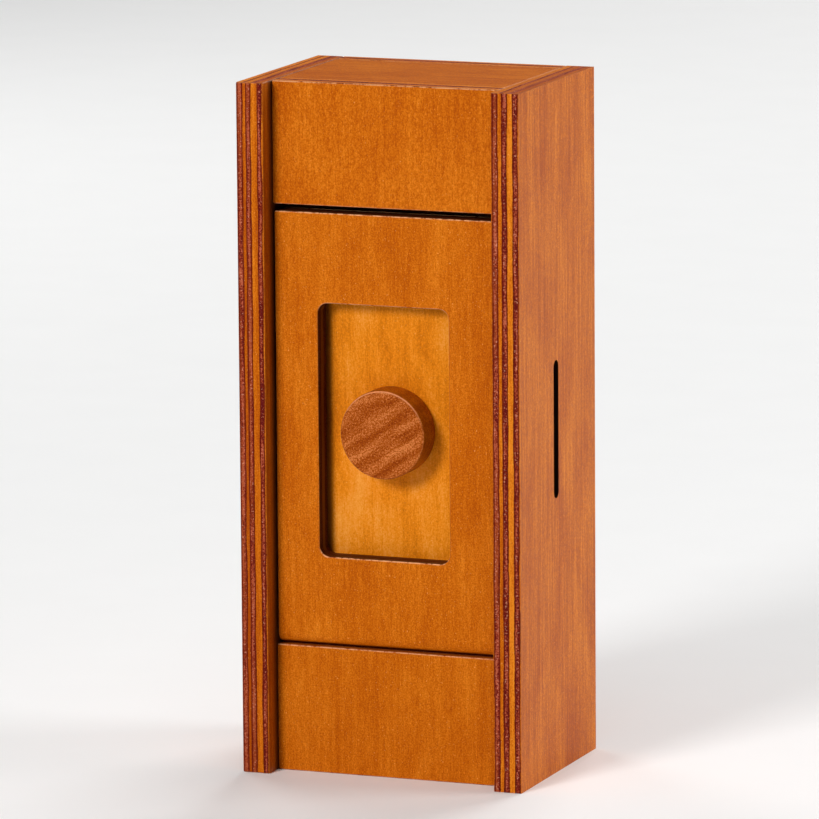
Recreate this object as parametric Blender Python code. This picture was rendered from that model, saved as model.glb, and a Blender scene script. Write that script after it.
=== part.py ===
"""Upright plywood puzzle box: a drop-front lid, a slider panel behind its window, and a hidden gate.

Metres, +Z up. The origin is the centre of the base, and the front faces -Y. Depths are counted
from the front edges of the side walls towards the back. The knob's screw passes through the slider
panel and the gate plate. Its washer is wider than the gate's slots, so the lid only drops open with
the knob at the round exit in the middle, which is the pose that is modelled.
"""

import math

import bmesh
import bpy
from mathutils import Vector

MM = 0.001

# Carcass
BOX_WIDTH = 64.0 * MM
BOX_DEPTH = 47.0 * MM
BOX_HEIGHT = 150.0 * MM
WALL_THICKNESS = 6.2 * MM
BACK_THICKNESS = 5.0 * MM
FRONT_THICKNESS = 5.0 * MM
FRONT_RECESS = 5.0 * MM
GLUE_GAP = 0.3 * MM
RUN_GAP = 0.3 * MM

# Coin slot in the right wall
COIN_SLOT_LENGTH = 30.0 * MM
COIN_SLOT_WIDTH = 3.0 * MM
COIN_SLOT_DEPTH = 22.4 * MM

# Lid. It hangs against the left wall, so its middle and all that it carries are left of the box's middle.
LID_HEIGHT = 94.0 * MM
LID_WIDTH = 50.0 * MM
LID_OFFSET_X = -0.5 * MM
LID_TOP_GAP = 1.5 * MM
WINDOW_OFFSET_X = -0.3 * MM
WINDOW_WIDTH = 29.8 * MM
WINDOW_HEIGHT = 55.0 * MM
WINDOW_CORNER = 2.2 * MM
LID_BACK_THICKNESS = 2.0 * MM
LID_RAIL_WIDTH = 5.8 * MM
LID_OPENING_WIDTH = 20.0 * MM
LID_OPENING_HEIGHT = 28.4 * MM
LID_SCREW_Z = 40.0 * MM
HINGE_PIN_RADIUS = 1.1 * MM
HINGE_PIN_GRIP = 4.2 * MM
HINGE_PIN_REACH = 5.3 * MM
HINGE_HOLE_PLAY = 0.2 * MM

# Slider panel, spacer and knob
PANEL_THICKNESS = 2.6 * MM
PANEL_TRAVEL = 8.0 * MM
KNOB_TRAVEL = 3.5 * MM
KNOB_RADIUS = 9.6 * MM
KNOB_THICKNESS = 6.8 * MM
KNOB_EDGE = 0.55 * MM
KNOB_EDGE_STEPS = 3
KNOB_HOLE_DEPTH = 3.7 * MM
SPACER_SIZE = 9.0 * MM
SPACER_THICKNESS = 2.0 * MM
SCREW_SHANK_RADIUS = 1.5 * MM
SCREW_HEAD_RADIUS = 2.6 * MM
SCREW_HEAD_THICKNESS = 1.1 * MM
WASHER_RADIUS = 3.5 * MM
WASHER_THICKNESS = 0.6 * MM

# Gate
GATE_THICKNESS = 2.8 * MM
GATE_FRONT_GAP = 0.4 * MM
GATE_SLOT_PLAY = 0.4 * MM
GATE_EXIT_LIFT = 0.75 * MM
GATE_RAIL_SIZE = 6.0 * MM
GATE_RAIL_CLEARANCE = 0.5 * MM
GATE_SCREW_X = 20.0 * MM
LID_STOP_SIZE = 5.0 * MM
LID_STOP_HEIGHT = 8.0 * MM
LID_STOP_Z = 39.0 * MM

# Small countersunk wood screws
WOOD_SCREW_RADIUS = 0.85 * MM
WOOD_SCREW_HEAD_RADIUS = 1.7 * MM
WOOD_SCREW_HEAD_DEPTH = 0.9 * MM
WOOD_SCREW_PLAY = 0.3 * MM
WOOD_SCREW_LENGTH = 7.8 * MM
WOOD_SCREW_TIP = 1.2 * MM

# Cross drives, as shares of the screw head
DRIVE_REACH = 0.55
DRIVE_WEB = 0.16
DRIVE_DEPTH = 0.4

# Edge rounding
OUTER_EDGE = 0.35 * MM
INNER_EDGE = 0.2 * MM
EDGE_ANGLE = math.radians(40.0)
ROUND_STEPS = 6
HOLE_SIDES = 16
KNOB_SIDES = 72

# Worked out from the above
MID_HEIGHT = BOX_HEIGHT / 2
WALL_INNER = BOX_WIDTH / 2 - WALL_THICKNESS
INSIDE_HALF = WALL_INNER - GLUE_GAP
LID_HALF = LID_WIDTH / 2
LID_BOTTOM = MID_HEIGHT - LID_HEIGHT / 2
LID_TOP = MID_HEIGHT + LID_HEIGHT / 2
LID_BACK_OF_PLATE = FRONT_RECESS + FRONT_THICKNESS
TRACK_FRONT = LID_BACK_OF_PLATE + RUN_GAP
LID_RAIL_BACK = TRACK_FRONT + PANEL_THICKNESS + RUN_GAP
LID_BACK_FRONT = LID_RAIL_BACK + GLUE_GAP
LID_BACK = LID_BACK_FRONT + LID_BACK_THICKNESS
GATE_FRONT = LID_BACK + GATE_FRONT_GAP
GATE_BACK = GATE_FRONT + GATE_THICKNESS
WASHER_FRONT = GATE_BACK + RUN_GAP
SCREW_HEAD_FRONT = WASHER_FRONT + WASHER_THICKNESS + RUN_GAP
BACK_FRONT = BOX_DEPTH - BACK_THICKNESS
END_FRONT = FRONT_RECESS + FRONT_THICKNESS + GLUE_GAP
END_BACK = BACK_FRONT - GLUE_GAP
HINGE_DEPTH = FRONT_RECESS + FRONT_THICKNESS / 2
HINGE_HEIGHT = LID_BOTTOM + FRONT_THICKNESS / 2
TRACK_HALF = LID_HALF - LID_RAIL_WIDTH
PANEL_HALF_WIDTH = TRACK_HALF - RUN_GAP
PANEL_HALF_HEIGHT = WINDOW_HEIGHT / 2 + PANEL_TRAVEL
TRACK_HALF_HEIGHT = PANEL_HALF_HEIGHT + PANEL_TRAVEL + RUN_GAP
KNOB_BACK = TRACK_FRONT - RUN_GAP
KNOB_FRONT = KNOB_BACK - KNOB_THICKNESS
KNOB_HOLE_RADIUS = SCREW_SHANK_RADIUS + RUN_GAP
SCREW_FRONT = KNOB_BACK - KNOB_HOLE_DEPTH + GLUE_GAP
SPACER_FRONT = TRACK_FRONT + PANEL_THICKNESS + RUN_GAP
GATE_SLOT_RADIUS = SCREW_SHANK_RADIUS + GATE_SLOT_PLAY
GATE_EXIT_RADIUS = WASHER_RADIUS + GATE_SLOT_PLAY
GATE_RAIL_START = COIN_SLOT_LENGTH / 2 + GATE_RAIL_CLEARANCE
GATE_HALF_HEIGHT = GATE_RAIL_START + GATE_RAIL_SIZE
GATE_SCREW_Z = GATE_RAIL_START + GATE_RAIL_SIZE / 2
LID_SCREW_X = LID_HALF - LID_RAIL_WIDTH / 2

HONEY_WOOD = ((0.55, 0.14, 0.012), 0.42, 0.0)
PALE_HONEY_WOOD = ((0.68, 0.29, 0.05), 0.40, 0.0)
KNOB_WOOD = ((0.36, 0.10, 0.035), 0.45, 0.0)
HIDDEN_WOOD = ((0.62, 0.40, 0.20), 0.60, 0.0)
STEEL = ((0.60, 0.60, 0.62), 0.30, 1.0)
BRASS = ((0.72, 0.52, 0.22), 0.32, 1.0)


def at_depth(depth):
    """Y coordinate of a depth behind the side walls' front edges."""
    return depth - BOX_DEPTH / 2


PANEL_CENTRE = (0.0, at_depth(TRACK_FRONT), MID_HEIGHT)
BODY_CENTRES = {
    "carcass": (0.0, 0.0, 0.0),
    "lid": (0.0, at_depth(HINGE_DEPTH), HINGE_HEIGHT),
    "panel": PANEL_CENTRE,
    "spacer": PANEL_CENTRE,
    "knob": PANEL_CENTRE,
}
BODY_PARENTS = {"lid": "carcass", "panel": "lid", "spacer": "panel", "knob": "spacer"}
BODIES = {}


def add_bodies():
    """One empty for each moving group, on its joint's axis. The lid's offset moves all it carries."""
    for name, centre in BODY_CENTRES.items():
        empty = bpy.data.objects.new(name + "_pivot", None)
        bpy.context.scene.collection.objects.link(empty)
        BODIES[name] = empty
        parent = BODY_PARENTS.get(name)
        if parent:
            empty.parent = BODIES[parent]
            empty.location = Vector(centre) - Vector(BODY_CENTRES[parent])
    BODIES["lid"].location.x += LID_OFFSET_X


def add_material(name, finish):
    colour, roughness, metallic = finish
    material = bpy.data.materials.new(name)
    material.use_nodes = True
    shader = material.node_tree.nodes["Principled BSDF"]
    shader.inputs["Base Color"].default_value = (*colour, 1.0)
    shader.inputs["Roughness"].default_value = roughness
    shader.inputs["Metallic"].default_value = metallic
    return material


def place_on_body(item, centre, body):
    bpy.context.scene.collection.objects.link(item)
    item.parent = BODIES[body]
    item.location = Vector(centre) - Vector(BODY_CENTRES[body])


def add_piece(name, mesh, centre, body, finish):
    """Put a mesh, whose own origin is at centre, on a body. A body's middle counts as x = 0."""
    piece = bpy.data.objects.new(name, mesh)
    place_on_body(piece, centre, body)
    mesh.materials.append(add_material(name, finish))
    return piece


def prism(outline, axis, low, high):
    """Closed prism: a flat outline carried from low to high along an axis."""
    place = {
        "X": lambda u, v, w: (w, u, v),
        "Y": lambda u, v, w: (u, w, v),
        "Z": lambda u, v, w: (u, v, w),
    }[axis]
    shape = bmesh.new()
    base = shape.faces.new([shape.verts.new(place(u, v, low)) for u, v in outline])
    grown = bmesh.ops.extrude_face_region(shape, geom=[base])
    moved = [item for item in grown["geom"] if isinstance(item, bmesh.types.BMVert)]
    bmesh.ops.translate(shape, vec=Vector(place(0.0, 0.0, high - low)), verts=moved)
    bmesh.ops.recalc_face_normals(shape, faces=shape.faces)
    mesh = bpy.data.meshes.new("prism")
    shape.to_mesh(mesh)
    shape.free()
    return mesh


def turned(profile, sides):
    """Closed solid of revolution about Y. The profile is (radius, y) points; radius 0 is a pole."""
    shape = bmesh.new()
    rings = []
    for radius, y in profile:
        if radius == 0.0:
            rings.append([shape.verts.new((0.0, y, 0.0))])
            continue
        angles = [2 * math.pi * step / sides for step in range(sides)]
        rings.append([shape.verts.new((radius * math.cos(a), y, radius * math.sin(a))) for a in angles])
    closed_ring = profile[0][0] > 0.0
    pairs = list(zip(rings, rings[1:]))
    if closed_ring:
        pairs.append((rings[-1], rings[0]))
    for first, second in pairs:
        for step in range(sides):
            after = (step + 1) % sides
            corners = [first[step % len(first)], first[after % len(first)],
                       second[after % len(second)], second[step % len(second)]]
            shape.faces.new(list(dict.fromkeys(corners)))
    bmesh.ops.recalc_face_normals(shape, faces=shape.faces)
    mesh = bpy.data.meshes.new("turned")
    shape.to_mesh(mesh)
    shape.free()
    mesh.shade_smooth()
    mesh.set_sharp_from_angle(angle=EDGE_ANGLE)
    return mesh


def turn_along_x(mesh):
    """Turn a solid of revolution's axis from Y to X."""
    for vertex in mesh.vertices:
        vertex.co = (vertex.co.y, -vertex.co.x, vertex.co.z)
    return mesh


def rounded_rectangle(width, height, radius, steps=ROUND_STEPS):
    """Outline round the origin, counter-clockwise, with arcs at its corners."""
    points = []
    corners = [(1, 1, 0.0), (-1, 1, 0.5), (-1, -1, 1.0), (1, -1, 1.5)]
    for side_u, side_v, start in corners:
        for step in range(steps + 1):
            angle = math.pi * (start + 0.5 * step / steps)
            u = side_u * (width / 2 - radius) + radius * math.cos(angle)
            v = side_v * (height / 2 - radius) + radius * math.sin(angle)
            if not points or math.dist(points[-1], (u, v)) > 1e-6:
                points.append((u, v))
    if math.dist(points[-1], points[0]) < 1e-6:
        points.pop()
    return points


def moved(outline, u, v):
    return [(point_u + u, point_v + v) for point_u, point_v in outline]


def cross_outline(head_radius):
    """Outline of a cross drive for a screw head."""
    arm = head_radius * DRIVE_REACH
    web = head_radius * DRIVE_WEB
    return [(arm, web), (web, web), (web, arm), (-web, arm), (-web, web), (-arm, web),
            (-arm, -web), (-web, -web), (-web, -arm), (web, -arm), (web, -web), (arm, -web)]


def add_cutter(name, mesh, body, centre=(0.0, 0.0, 0.0)):
    """A shape that is only there to be cut away."""
    cutter = bpy.data.objects.new(name, mesh)
    place_on_body(cutter, centre, body)
    cutter.hide_render = True
    cutter.display_type = "WIRE"
    return cutter


def cut(piece, cutter):
    boolean = piece.modifiers.new(cutter.name, "BOOLEAN")
    boolean.operation = "DIFFERENCE"
    boolean.solver = "EXACT"
    boolean.object = cutter


def soften(piece, width, segments):
    """Round the sharp edges."""
    bevel = piece.modifiers.new("soft_edges", "BEVEL")
    bevel.width = width
    bevel.segments = segments
    bevel.limit_method = "ANGLE"
    bevel.angle_limit = EDGE_ANGLE


def add_board(name, low, high, body, finish):
    """A straight board between two corners given as (x, depth, z)."""
    low_corner = Vector((low[0], at_depth(low[1]), low[2]))
    high_corner = Vector((high[0], at_depth(high[1]), high[2]))
    half = (high_corner - low_corner) / 2
    outline = [(-half.x, -half.y), (half.x, -half.y), (half.x, half.y), (-half.x, half.y)]
    mesh = prism(outline, "Z", -half.z, half.z)
    return add_piece(name, mesh, (low_corner + high_corner) / 2, body, finish)


def add_hinge_hole_cutter(side, name):
    """The bore that a hinge pin stands in: press fit in the wall, running fit in the lid."""
    wall_end = side * (WALL_INNER + HINGE_PIN_GRIP + RUN_GAP)
    lid_end = side * (LID_HALF - HINGE_PIN_REACH - RUN_GAP)
    low, high = sorted((wall_end, lid_end))
    radius = HINGE_PIN_RADIUS + HINGE_HOLE_PLAY
    profile = [(0.0, low), (radius, low), (radius, high), (0.0, high)]
    mesh = turn_along_x(turned(profile, HOLE_SIDES))
    return add_cutter(name, mesh, "carcass", (0.0, at_depth(HINGE_DEPTH), HINGE_HEIGHT))


def add_side_walls(hinge_cutters):
    walls = {}
    for side, name in ((-1, "left_side_wall"), (1, "right_side_wall")):
        low_x, high_x = sorted((side * BOX_WIDTH / 2, side * WALL_INNER))
        low = (low_x, 0.0, 0.0)
        high = (high_x, BOX_DEPTH, BOX_HEIGHT)
        walls[side] = add_board(name, low, high, "carcass", HONEY_WOOD)
    slot = rounded_rectangle(COIN_SLOT_WIDTH, COIN_SLOT_LENGTH, COIN_SLOT_WIDTH / 2)
    slot = moved(slot, at_depth(COIN_SLOT_DEPTH), MID_HEIGHT)
    cut(walls[1], add_cutter("cut_coin_slot", prism(slot, "X", 0.0, BOX_WIDTH), "carcass"))
    for side, wall in walls.items():
        soften(wall, OUTER_EDGE, 2)
        cut(wall, hinge_cutters[side])


def add_end_boards():
    ends = (("bottom_end_board", 0.0), ("top_end_board", BOX_HEIGHT - WALL_THICKNESS))
    for name, base in ends:
        low = (-INSIDE_HALF, END_FRONT, base)
        high = (INSIDE_HALF, END_BACK, base + WALL_THICKNESS)
        soften(add_board(name, low, high, "carcass", HONEY_WOOD), INNER_EDGE, 1)


def add_back_panel():
    low = (-INSIDE_HALF, BACK_FRONT, 0.0)
    high = (INSIDE_HALF, BOX_DEPTH, BOX_HEIGHT)
    soften(add_board("back_panel", low, high, "carcass", HONEY_WOOD), OUTER_EDGE, 2)


def add_front_boards():
    """Fixed boards above and below the lid, flush with its face."""
    boards = (
        ("upper_front_board", LID_TOP + LID_TOP_GAP, BOX_HEIGHT),
        ("lower_front_board", 0.0, LID_BOTTOM - RUN_GAP),
    )
    for name, base, top in boards:
        low = (-INSIDE_HALF, FRONT_RECESS, base)
        high = (INSIDE_HALF, FRONT_RECESS + FRONT_THICKNESS, top)
        soften(add_board(name, low, high, "carcass", HONEY_WOOD), OUTER_EDGE, 2)


def add_hinge_pins():
    for side, name in ((-1, "hinge_pin_left"), (1, "hinge_pin_right")):
        outer = WALL_INNER + HINGE_PIN_GRIP
        inner = LID_HALF - HINGE_PIN_REACH
        half = (outer - inner) / 2
        edge = INNER_EDGE
        profile = [(0.0, -half), (HINGE_PIN_RADIUS - edge, -half), (HINGE_PIN_RADIUS, edge - half),
                   (HINGE_PIN_RADIUS, half - edge), (HINGE_PIN_RADIUS - edge, half), (0.0, half)]
        mesh = turn_along_x(turned(profile, HOLE_SIDES))
        centre = (side * (outer + inner) / 2, at_depth(HINGE_DEPTH), HINGE_HEIGHT)
        add_piece(name, mesh, centre, "carcass", STEEL)


def wood_screw_profile(play):
    """Half outline of a countersunk screw, or with play the hole it stands in, from head to tip."""
    radius = WOOD_SCREW_RADIUS + play
    head = WOOD_SCREW_HEAD_RADIUS + play
    tip = WOOD_SCREW_LENGTH + play
    if play:
        return [(0.0, MM), (head, MM), (head, 0.0), (radius, -WOOD_SCREW_HEAD_DEPTH),
                (radius, -tip), (0.0, -tip)]
    return [(0.0, -GLUE_GAP), (head - GLUE_GAP, -GLUE_GAP), (radius, -WOOD_SCREW_HEAD_DEPTH),
            (radius, WOOD_SCREW_TIP - tip), (0.0, -tip)]


def add_wood_screw(name, x, head_depth, z, direction, body):
    """A screw and its hole. Direction 1 drives it towards the back, -1 towards the front."""
    place = (x, at_depth(head_depth), z)
    screw_mesh = turned([(r, -direction * y) for r, y in wood_screw_profile(0.0)], HOLE_SIDES)
    hole_mesh = turned([(r, -direction * y) for r, y in wood_screw_profile(WOOD_SCREW_PLAY)], HOLE_SIDES)
    screw = add_piece(name, screw_mesh, place, body, BRASS)
    cross = cross_outline(WOOD_SCREW_HEAD_RADIUS)
    low, high = sorted((-direction * MM, direction * (GLUE_GAP + WOOD_SCREW_HEAD_DEPTH * DRIVE_DEPTH)))
    cut(screw, add_cutter("cut_drive_" + name, prism(cross, "Y", low, high), body, place))
    return add_cutter("cut_hole_" + name, hole_mesh, body, place)


def add_gate():
    """The slotted plate that keeps the knob's washer, and the two rails that carry it."""
    plate_low = (-INSIDE_HALF, GATE_FRONT, MID_HEIGHT - GATE_HALF_HEIGHT)
    plate_high = (INSIDE_HALF, GATE_BACK, MID_HEIGHT + GATE_HALF_HEIGHT)
    plate = add_board("gate_plate", plate_low, plate_high, "carcass", HIDDEN_WOOD)
    soften(plate, INNER_EDGE, 1)

    reach = GATE_SLOT_RADIUS * 2
    rung = rounded_rectangle(2 * KNOB_TRAVEL + reach, reach, GATE_SLOT_RADIUS)
    riser = rounded_rectangle(reach, 2 * PANEL_TRAVEL + reach, GATE_SLOT_RADIUS)
    exit_hole = rounded_rectangle(2 * GATE_EXIT_RADIUS, 2 * GATE_EXIT_RADIUS + GATE_EXIT_LIFT,
                                  GATE_EXIT_RADIUS)
    slots = [("cut_gate_riser", riser, 0.0), ("cut_gate_exit", exit_hole, GATE_EXIT_LIFT / 2)]
    for step in (-1, 0, 1):
        slots.append(("cut_gate_rung_%d" % (step + 2), rung, step * PANEL_TRAVEL))
    low, high = at_depth(GATE_FRONT - MM), at_depth(GATE_BACK + MM)
    for name, outline, lift in slots:
        outline = moved(outline, LID_OFFSET_X, MID_HEIGHT + lift)
        cut(plate, add_cutter(name, prism(outline, "Y", low, high), "carcass"))

    number = 0
    for level, rail_name in ((-1, "gate_rail_lower"), (1, "gate_rail_upper")):
        ends = sorted((level * GATE_RAIL_START, level * GATE_HALF_HEIGHT))
        rail_low = (-INSIDE_HALF, GATE_BACK + GLUE_GAP, MID_HEIGHT + ends[0])
        rail_high = (INSIDE_HALF, GATE_BACK + GLUE_GAP + GATE_RAIL_SIZE, MID_HEIGHT + ends[1])
        rail = add_board(rail_name, rail_low, rail_high, "carcass", HIDDEN_WOOD)
        soften(rail, INNER_EDGE, 1)
        for side in (-1, 1):
            number += 1
            height = MID_HEIGHT + level * GATE_SCREW_Z
            hole = add_wood_screw("gate_screw_%d" % number, side * GATE_SCREW_X, GATE_FRONT, height, 1,
                                  "carcass")
            cut(plate, hole)
            cut(rail, hole)


def add_lid_stops():
    """Blocks on the side walls that the closed lid leans against."""
    for side, name in ((-1, "lid_stop_left"), (1, "lid_stop_right")):
        low_x, high_x = sorted((side * INSIDE_HALF, side * (INSIDE_HALF - LID_STOP_SIZE)))
        base = MID_HEIGHT + LID_STOP_Z - LID_STOP_HEIGHT / 2
        low = (low_x, LID_BACK + RUN_GAP, base)
        high = (high_x, LID_BACK + RUN_GAP + LID_STOP_SIZE, base + LID_STOP_HEIGHT)
        soften(add_board(name, low, high, "carcass", HIDDEN_WOOD), INNER_EDGE, 1)


def add_lid_front(hinge_cutters, screw_holes):
    """Windowed plate. Its lower front edge is round about the hinge axis, so that it can turn."""
    back = FRONT_THICKNESS / 2
    radius = FRONT_THICKNESS / 2
    outline = [(back, -radius), (back, LID_HEIGHT - radius), (-back, LID_HEIGHT - radius)]
    for step in range(ROUND_STEPS + 1):
        angle = math.pi * (1.0 + 0.5 * step / ROUND_STEPS)
        outline.append((radius * math.cos(angle), radius * math.sin(angle)))
    mesh = prism(outline, "X", -LID_HALF, LID_HALF)
    centre = (0.0, at_depth(HINGE_DEPTH), HINGE_HEIGHT)
    plate = add_piece("lid_front_plate", mesh, centre, "lid", HONEY_WOOD)
    window = rounded_rectangle(WINDOW_WIDTH, WINDOW_HEIGHT, WINDOW_CORNER)
    window = moved(window, WINDOW_OFFSET_X, MID_HEIGHT)
    ends = (at_depth(0.0), at_depth(TRACK_FRONT))
    cut(plate, add_cutter("cut_window", prism(window, "Y", *ends), "lid"))
    soften(plate, OUTER_EDGE, 2)
    for cutter in list(hinge_cutters.values()) + screw_holes:
        cut(plate, cutter)


def add_lid_frame():
    """Rails that form the panel's track, the boards behind them, and the screws through both."""
    screw_holes = {-1: [], 1: []}
    number = 0
    for side in (-1, 1):
        for level in (-1, 1):
            number += 1
            height = MID_HEIGHT + level * LID_SCREW_Z
            hole = add_wood_screw("lid_screw_%d" % number, side * LID_SCREW_X, LID_BACK, height, -1, "lid")
            screw_holes[side].append(hole)
    for side, word in ((-1, "left"), (1, "right")):
        rail_x = sorted((side * TRACK_HALF, side * LID_HALF))
        rail = add_board("lid_rail_" + word, (rail_x[0], TRACK_FRONT, LID_BOTTOM),
                         (rail_x[1], LID_RAIL_BACK, LID_TOP), "lid", HIDDEN_WOOD)
        back_x = sorted((side * LID_OPENING_WIDTH / 2, side * LID_HALF))
        back = add_board("lid_back_board_" + word, (back_x[0], LID_BACK_FRONT, LID_BOTTOM),
                         (back_x[1], LID_BACK, LID_TOP), "lid", HIDDEN_WOOD)
        for piece in (rail, back):
            soften(piece, INNER_EDGE, 1)
            for hole in screw_holes[side]:
                cut(piece, hole)
    rail_half = TRACK_HALF - GLUE_GAP
    back_half = LID_OPENING_WIDTH / 2 - GLUE_GAP
    spans = {
        "lower": (LID_BOTTOM, MID_HEIGHT - TRACK_HALF_HEIGHT, MID_HEIGHT - LID_OPENING_HEIGHT / 2),
        "upper": (LID_TOP, MID_HEIGHT + TRACK_HALF_HEIGHT, MID_HEIGHT + LID_OPENING_HEIGHT / 2),
    }
    for word, (outer, rail_inner, back_inner) in spans.items():
        low_z, high_z = sorted((outer, rail_inner))
        rail = add_board("lid_rail_" + word, (-rail_half, TRACK_FRONT, low_z),
                         (rail_half, LID_RAIL_BACK, high_z), "lid", HIDDEN_WOOD)
        low_z, high_z = sorted((outer, back_inner))
        back = add_board("lid_back_board_" + word, (-back_half, LID_BACK_FRONT, low_z),
                         (back_half, LID_BACK, high_z), "lid", HIDDEN_WOOD)
        soften(rail, INNER_EDGE, 1)
        soften(back, INNER_EDGE, 1)
    return screw_holes[-1] + screw_holes[1]


def add_slider_panel():
    """Panel behind the window. Its short slot stays hidden behind the knob."""
    low = (-PANEL_HALF_WIDTH, TRACK_FRONT, MID_HEIGHT - PANEL_HALF_HEIGHT)
    high = (PANEL_HALF_WIDTH, TRACK_FRONT + PANEL_THICKNESS, MID_HEIGHT + PANEL_HALF_HEIGHT)
    panel = add_board("slider_panel", low, high, "panel", PALE_HONEY_WOOD)
    soften(panel, INNER_EDGE, 2)
    slot_half = KNOB_TRAVEL + SCREW_SHANK_RADIUS + RUN_GAP
    slot = rounded_rectangle(2 * slot_half, 2 * GATE_SLOT_RADIUS, GATE_SLOT_RADIUS)
    slot = moved(slot, 0.0, MID_HEIGHT)
    ends = (at_depth(TRACK_FRONT - MM), at_depth(TRACK_FRONT + PANEL_THICKNESS + MM))
    cut(panel, add_cutter("cut_panel_slot", prism(slot, "Y", *ends), "panel"))


def add_spacer_block():
    """Keeps the knob's screw square to the panel and slides behind it."""
    half = SPACER_SIZE / 2
    low = (-half, SPACER_FRONT, MID_HEIGHT - half)
    high = (half, SPACER_FRONT + SPACER_THICKNESS, MID_HEIGHT + half)
    block = add_board("spacer_block", low, high, "spacer", HIDDEN_WOOD)
    soften(block, INNER_EDGE, 1)
    radius = SCREW_SHANK_RADIUS + RUN_GAP
    start, end = at_depth(SPACER_FRONT - MM), at_depth(SPACER_FRONT + SPACER_THICKNESS + MM)
    bore = turned([(0.0, start), (radius, start), (radius, end), (0.0, end)], HOLE_SIDES)
    cut(block, add_cutter("cut_spacer_bore", bore, "spacer", (0.0, 0.0, MID_HEIGHT)))


def from_panel_front(profile):
    """Profile given in depths, moved to the knob body's own origin."""
    return [(radius, depth - TRACK_FRONT) for radius, depth in profile]


def add_knob():
    """Turned disc with a broken edge and a blind hole for its screw."""
    edge = KNOB_EDGE
    back_edge = INNER_EDGE
    profile = [(0.0, KNOB_FRONT), (KNOB_RADIUS - edge, KNOB_FRONT)]
    for step in range(1, KNOB_EDGE_STEPS + 1):
        angle = 0.5 * math.pi * step / KNOB_EDGE_STEPS
        profile.append((KNOB_RADIUS - edge + edge * math.sin(angle),
                        KNOB_FRONT + edge - edge * math.cos(angle)))
    profile += [(KNOB_RADIUS, KNOB_BACK - back_edge), (KNOB_RADIUS - back_edge, KNOB_BACK),
                (KNOB_HOLE_RADIUS, KNOB_BACK), (KNOB_HOLE_RADIUS, KNOB_BACK - KNOB_HOLE_DEPTH),
                (0.0, KNOB_BACK - KNOB_HOLE_DEPTH)]
    add_piece("knob", turned(from_panel_front(profile), KNOB_SIDES), PANEL_CENTRE, "knob", KNOB_WOOD)


def add_knob_screw():
    """Round-headed screw that holds the knob, with a cross drive in its head."""
    head_back = SCREW_HEAD_FRONT + SCREW_HEAD_THICKNESS
    edge = SCREW_HEAD_THICKNESS / 2
    profile = [(0.0, SCREW_FRONT), (SCREW_SHANK_RADIUS, SCREW_FRONT),
               (SCREW_SHANK_RADIUS, SCREW_HEAD_FRONT), (SCREW_HEAD_RADIUS, SCREW_HEAD_FRONT),
               (SCREW_HEAD_RADIUS, head_back - edge), (SCREW_HEAD_RADIUS - edge, head_back),
               (0.0, head_back)]
    screw = add_piece("knob_screw", turned(from_panel_front(profile), 2 * HOLE_SIDES), PANEL_CENTRE,
                      "knob", STEEL)
    cross = moved(cross_outline(SCREW_HEAD_RADIUS), 0.0, MID_HEIGHT)
    ends = (at_depth(head_back - SCREW_HEAD_THICKNESS * DRIVE_DEPTH), at_depth(head_back + MM))
    cut(screw, add_cutter("cut_drive_knob_screw", prism(cross, "Y", *ends), "knob"))


def add_washer():
    """The washer that the gate's slots hold back."""
    hole = SCREW_SHANK_RADIUS + RUN_GAP
    washer_back = WASHER_FRONT + WASHER_THICKNESS
    edge = WASHER_THICKNESS / 4
    profile = [(hole, WASHER_FRONT), (WASHER_RADIUS - edge, WASHER_FRONT),
               (WASHER_RADIUS, WASHER_FRONT + edge), (WASHER_RADIUS, washer_back - edge),
               (WASHER_RADIUS - edge, washer_back), (hole, washer_back)]
    mesh = turned(from_panel_front(profile), 2 * HOLE_SIDES)
    add_piece("retaining_washer", mesh, PANEL_CENTRE, "knob", STEEL)


def main():
    for item in list(bpy.data.objects):
        bpy.data.objects.remove(item, do_unlink=True)
    add_bodies()
    hinge_cutters = {
        -1: add_hinge_hole_cutter(-1, "cut_hinge_left"),
        1: add_hinge_hole_cutter(1, "cut_hinge_right"),
    }
    add_side_walls(hinge_cutters)
    add_end_boards()
    add_back_panel()
    add_front_boards()
    add_hinge_pins()
    add_gate()
    add_lid_stops()
    lid_screw_holes = add_lid_frame()
    add_lid_front(hinge_cutters, lid_screw_holes)
    add_slider_panel()
    add_spacer_block()
    add_knob()
    add_knob_screw()
    add_washer()


main()
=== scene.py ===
"""Looks for the wooden puzzle box: stained plywood boards, pale slider panel, turned knob, raw inner wood."""

import math
from typing import NamedTuple

import bmesh
import bpy
from mathutils import Matrix, Vector


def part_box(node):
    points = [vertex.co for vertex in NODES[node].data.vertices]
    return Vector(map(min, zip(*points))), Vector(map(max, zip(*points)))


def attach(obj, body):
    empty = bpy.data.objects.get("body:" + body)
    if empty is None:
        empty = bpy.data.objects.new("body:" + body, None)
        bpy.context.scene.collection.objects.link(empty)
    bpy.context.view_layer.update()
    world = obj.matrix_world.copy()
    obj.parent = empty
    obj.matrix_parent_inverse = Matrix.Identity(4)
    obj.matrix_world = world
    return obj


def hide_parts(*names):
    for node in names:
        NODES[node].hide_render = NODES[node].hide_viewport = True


MM = 0.001

# The camera, as far as the object's edges tell it
CAMERA_AZIMUTH = 21.17
CAMERA_ELEVATION = 10.01
CAMERA_ROLL = -0.41
CAMERA_DISTANCE = 1.590
CAMERA_AIM = Vector((7.1 * MM, -23.5 * MM, 81.6 * MM))
SENSOR_WIDTH = 36.0
LENS = 329.7

# Rounding of the boards' edges
BOARD_EDGE = 0.35 * MM
EDGE_SEGMENTS = 4
# Glued boards reach this much into the modelled joint gap, so that the joint looks closed
GLUE_REACH = 0.28 * MM

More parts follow.
